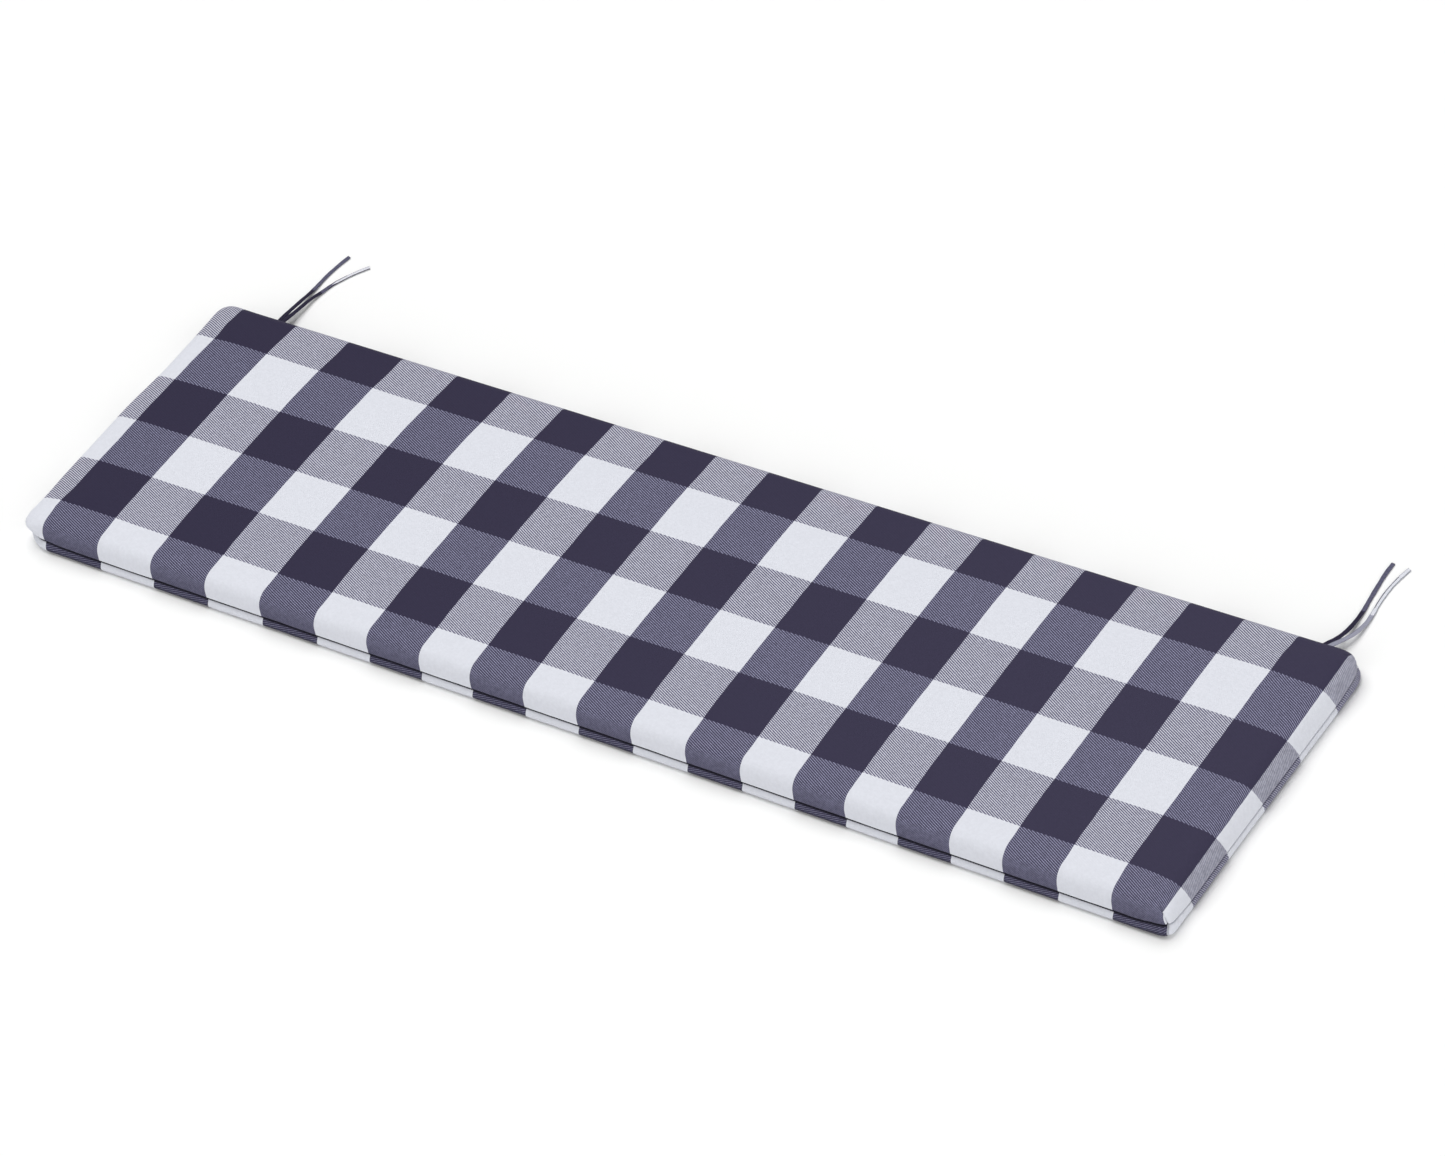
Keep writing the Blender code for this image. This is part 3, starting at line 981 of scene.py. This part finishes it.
def buildCover():
    levels = sectionLevels()
    steps = [cushion["longSteps"] if index % 2 == 0 else cushion["endSteps"] for index in range(4)]
    bottomCount = sum(row["panel"] == "bottom" for row in levels)
    shape = bmesh.new()
    layer = shape.loops.layers.uv.new("cloth")
    # how much painted shade each vertex takes
    shadeLayer = shape.verts.layers.float.new("paintedShade")

    # each level's unrolled distance from the underside's edge (bottom panel) or from the top's
    # rim (top panel), and how far out it stands from there
    for key in sideRules:
        for panel in (levels[:bottomCount], levels[bottomCount:][::-1]):
            way = 0.0
            for before, row in zip([panel[0]] + panel, panel):
                way += ((row["height"] - before["height"]) ** 2
                        + (row[key] - before[key]) ** 2) ** 0.5
                row[key + "Way"] = way
                row[key + "Run"] = panel[0][key] - row[key]
    rim, floorRow = levels[-1], levels[0]

    def ringFor(row, extra=0.0, sharp=0.0, raised=0.0):
        # one ring's vertices, and its four sides' points
        spots = cornerSpots(row, extra, sharp)
        sides = [sidePoints(row, index, spots, steps[index]) for index in range(4)]
        verts = []
        for index, points in enumerate(sides):
            share = sideRules[sideKeys[index]]["shade"]
            for point in points[:-1]:
                height = row["height"] + raised + liftAt(row["height"], point["cornerGap"])
                verts.append(shape.verts.new((*point["sunk"], height)))
                # painted shade: the level's seam, lip or foot shade, scaled by the side, or the
                # dart's crease shade
                verts[-1][shadeLayer] = max(row["shade"] * share,
                                            point["crease"] * cushion["creaseShade"])
        return verts, sides

    def slip(row, key, x):
        if key != "front":
            return 0.0
        low = smoothStep((cushion["dartTop"] - row["height"]) / cushion["dartTop"])
        part = smoothStep(0.5 + x / clothLie["frontLeanReach"])
        return blend(*clothLie["frontLean"], part) * low

    def clothPlace(row, point, index):
        # where a point of a ring lies on its laid-out panel. Above a corner's dart the cloth
        # fans out round the corner, and at the seam it lies flat against each side
        key = sideKeys[index]
        spare = row[key + "Way"] - row[key + "Run"]
        if not point["past"]:
            place = point["spot"] + point["out"] * spare
            return clothMap(place.x - slip(row, key, place.x), place.y)
        if row["panel"] == "top":
            fanned = smoothStep((row["height"] - cushion["seamHeight"])
                                / (cushion["dartTop"] - cushion["seamHeight"]))
        else:
            fanned = 1.0 - smoothStep(row[key + "Way"] / cushion["fanReach"])
        angle = point["past"] / point["bend"]
        bent = (point["along"] * (point["past"] - point["bend"] * sin(angle))
                + point["out"] * (point["bend"] * (1.0 - cos(angle)) + spare))
        end = "right" if point["spot"].x > 0.0 else "left"
        long = "back" if point["spot"].y > 0.0 else "front"
        shared = (row[long + "Way"] - row[long + "Run"] + row[end + "Way"] - row[end + "Run"]) / 2.0
        spare = blend(spare, shared, smoothStep(abs(angle) / (pi / 4.0)))
        place = point["spot"] + bent * (1.0 - fanned) + point["radial"] * (spare * fanned)
        return clothMap(place.x - slip(row, key, place.x), place.y)

    rings = [ringFor(row) for row in levels]
    total = sum(steps)
    for number in range(len(levels) - 1):
        lowerVerts, lowerSides = rings[number]
        upperVerts, upperSides = rings[number + 1]
        lower, upper = levels[number], levels[number + 1]
        base = 0
        for index in range(4):
            for step in range(steps[index]):
                first, second = base + step, (base + step + 1) % total
                face = shape.faces.new((lowerVerts[first], lowerVerts[second],
                                        upperVerts[second], upperVerts[first]))
                below, above = lowerSides[index], upperSides[index]
                # the channel's floor belongs to the bottom panel alone
                high = upper if upper["panel"] == lower["panel"] else lower
                places = ((lower, below[step]), (lower, below[step + 1]),
                          (high, above[step + 1]), (high, above[step]))
                for loop, (row, point) in zip(face.loops, places):
                    loop[layer].uv = clothPlace(row, point, index)
            base += steps[index]

    def flatFace(corners, upwards):
        face = shape.faces.new(corners if upwards else corners[::-1])
        for loop in face.loops:
            loop[layer].uv = clothMap(loop.vert.co.x, loop.vert.co.y)

    def fillIn(outerVerts, row, upwards):
        # rings that turn the round corners square, then an even grid inside them
        last = outerVerts
        for step in range(1, cushion["innerSteps"] + 1):
            part = step / cushion["innerSteps"]
            reach = cushion["innerReach"] * part
            raised = cushion["crown"] * sin(min(reach / cushion["crownReach"], 1.0) * pi / 2.0)
            verts, sides = ringFor(row, reach, smoothStep(part), raised if upwards else 0.0)
            for spot in range(total):
                after = (spot + 1) % total
                flatFace((last[spot], last[after], verts[after], verts[spot]), upwards)
            last = verts
        nLong, nEnd = steps[0], steps[1]
        half = nLong + nEnd
        front, right = last[:nLong + 1], last[nLong:half + 1]
        back = last[half:half + nLong + 1][::-1]
        left = (last[half + nLong:] + last[:1])[::-1]
        grid = [[None] * (nLong + 1) for _ in range(nEnd + 1)]
        for i in range(nLong + 1):
            grid[0][i], grid[nEnd][i] = front[i], back[i]
        for j in range(nEnd + 1):
            grid[j][0], grid[j][nLong] = left[j], right[j]
        c00, c10, c01, c11 = front[0].co, front[-1].co, back[0].co, back[-1].co
        for j in range(1, nEnd):
            t = (left[j].co - c00).length / (c01 - c00).length
            for i in range(1, nLong):
                s = (front[i].co - c00).length / (c10 - c00).length
                point = (front[i].co * (1 - t) + back[i].co * t + left[j].co * (1 - s)
                         + right[j].co * s - c00 * (1 - s) * (1 - t) - c10 * s * (1 - t)
                         - c01 * (1 - s) * t - c11 * s * t)
                if upwards:
                    inwards = min(cushion["length"] / 2.0 - rightEnd["shoulderReach"] - abs(point.x),
                                  cushion["depth"] / 2.0 - frontSide["shoulderReach"] - abs(point.y))
                    rise = sin(min(inwards / cushion["crownReach"], 1.0) * pi / 2.0)
                    point.z = cushion["thickness"] - cushion["crown"] + cushion["crown"] * rise
                grid[j][i] = shape.verts.new(point)
        for j in range(nEnd):
            for i in range(nLong):
                corners = (grid[j][i], grid[j][i + 1], grid[j + 1][i + 1], grid[j + 1][i])
                flatFace(corners, upwards)

    fillIn(rings[-1][0], rim, True)
    fillIn(rings[0][0], floorRow, False)
    return finishMesh("cover", shape)


cushionCover = addPiece("cushion_cover", buildCover(), coverCloth)
print("cover built:", len(cushionCover.data.polygons), "faces")


# the filling pushes the cover out between its seams: a plain copy is blown up as cloth, and the
# way it moves is carried over to the cover's own mesh
swelling = {
    "voxel": 0.006,
    "frames": 20,
    "cap": 0.0016,
    "seamHold": 0.0035,
    "floorHold": 0.0045,
    "neighbours": 6,
    "evenOut": 1e-6,
}

fillingCloth = {
    "mass": 0.3,
    "tension_stiffness": 15.0,
    "compression_stiffness": 15.0,
    "bending_stiffness": 0.5,
    "use_pressure": True,
    "uniform_pressure_force": 4.0,
    "vertex_group_mass": "held",
}


def swollenCopy(mesh):
    # the copy's points at rest and after the cloth simulation
    scene = bpy.context.scene
    item = bpy.data.objects.new("swelling", mesh.copy())
    scene.collection.objects.link(item)
    remesh = item.modifiers.new("remesh", "REMESH")
    remesh.mode = "VOXEL"
    remesh.voxel_size = swelling["voxel"]
    bakeModifiers(item)
    rest = [vertex.co.copy() for vertex in item.data.vertices]
    held = item.vertex_groups.new(name="held")
    seam = cushion["seamHeight"]
    held.add([index for index, point in enumerate(rest)
              if point.z < swelling["floorHold"] or abs(point.z - seam) < swelling["seamHold"]],
             1.0, "REPLACE")
    cloth = item.modifiers.new("cloth", "CLOTH")
    for key, value in fillingCloth.items():
        setattr(cloth.settings, key, value)
    cloth.settings.effector_weights.gravity = 0.0
    cloth.collision_settings.use_collision = False
    cloth.point_cache.frame_start = 1
    cloth.point_cache.frame_end = swelling["frames"]
    for frameNumber in range(1, swelling["frames"] + 1):
        scene.frame_set(frameNumber)
    moved = evaluatedMesh(item)
    after = [vertex.co.copy() for vertex in moved.vertices]
    scene.frame_set(1)
    old = item.data
    bpy.data.objects.remove(item)
    bpy.data.meshes.remove(old)
    bpy.data.meshes.remove(moved)
    return rest, after


def swell(mesh):
    rest, after = swollenCopy(mesh)
    tree = KDTree(len(rest))
    for index, point in enumerate(rest):
        tree.insert(point, index)
    tree.balance()
    most = 0.0
    for vertex in mesh.vertices:
        whole, shift = 0.0, Vector((0.0, 0.0, 0.0))
        for point, index, distance in tree.find_n(vertex.co, swelling["neighbours"]):
            weight = 1.0 / (distance * distance + swelling["evenOut"])
            whole += weight
            shift += (after[index] - point) * weight
        shift /= whole
        size = shift.length
        most = max(most, size)
        if size > 0.0:
            shift *= swelling["cap"] * tanh(size / swelling["cap"]) / size
        vertex.co += shift
        vertex.co.z = max(vertex.co.z, 0.0)
    print("cover swollen as cloth, up to", round(most * 1000.0, 2), "mm before the cap")


swell(cushionCover.data)
roundOff(cushionCover)
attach(cushionCover, "root")
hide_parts("cushion")

# the seam's own thread shows in the channel along the front and back
seamStitch = {"Pitch": 0.0031, "Length": 0.0028, "Width": 0.0013, "Height": 0.0012, "Seed": 7,
              "inset": 0.0004, "drop": 0.0001, "skip": 4}


def seamRow(index):
    row = level(cushion["seamHeight"] - seamStitch["drop"],
                lambda s: s["seamInset"] + seamStitch["inset"])
    points = sidePoints(row, index, cornerSpots(row), cushion["longSteps"])
    skip = seamStitch["skip"]
    return [(*point["spot"], row["height"] + liftAt(row["height"], point["cornerGap"]))
            for point in points[skip:-skip]]


seamStitches = stitchPiece("seam_stitches", [seamRow(0), seamRow(2)],
                           {**seamStitch, "Thread": seamThread})
print("seam stitched")


# a white floor under three wide lamps
stage = {
    "floorSize": 30.0,
    "floor": {"Base Color": (0.965, 0.966, 0.960, 1.0), "Roughness": 0.9,
              "Specular IOR Level": 0.1},
    "skyStrength": 0.05,
    "skyTone": (1.0, 1.0, 1.0, 1.0),
    "lamps": (
        {"name": "keyLamp", "strength": 2.53, "angle": 60.0, "from": (-0.38, 0.37, 1.0)},
        {"name": "frontLamp", "strength": 1.34, "angle": 76.0, "from": (0.10, -0.88, 0.29)},
        {"name": "rightLamp", "strength": 1.36, "angle": 76.0, "from": (0.88, -0.10, 0.29)},
    ),
}


def makeStage():
    shape = bmesh.new()
    half = stage["floorSize"] / 2.0
    corners = [shape.verts.new((x * half, y * half, 0.0)) for x, y in
               ((-1, -1), (1, -1), (1, 1), (-1, 1))]
    shape.faces.new(corners)
    paper = startMaterial("floorPaper", stage["floor"])[0]
    addPiece("floor", finishMesh("floor", shape, smooth=False), paper)

    world = bpy.data.worlds.new("studio")
    world.use_nodes = True
    sky = world.node_tree.nodes["Background"]
    sky.inputs["Color"].default_value = stage["skyTone"]
    sky.inputs["Strength"].default_value = stage["skyStrength"]
    bpy.context.scene.world = world

    for lamp in stage["lamps"]:
        data = bpy.data.lights.new(lamp["name"], "SUN")
        data.energy = lamp["strength"]
        data.angle = radians(lamp["angle"])
        item = bpy.data.objects.new(lamp["name"], data)
        item.rotation_mode = "QUATERNION"
        item.rotation_quaternion = Vector(lamp["from"]).to_track_quat("Z", "Y")
        bpy.context.scene.collection.objects.link(item)

    look = bpy.context.scene.view_settings
    look.view_transform = "Standard"
    look.look = "None"
    look.exposure = 0.0
    look.gamma = 1.0


makeStage()
print("stage and light made")
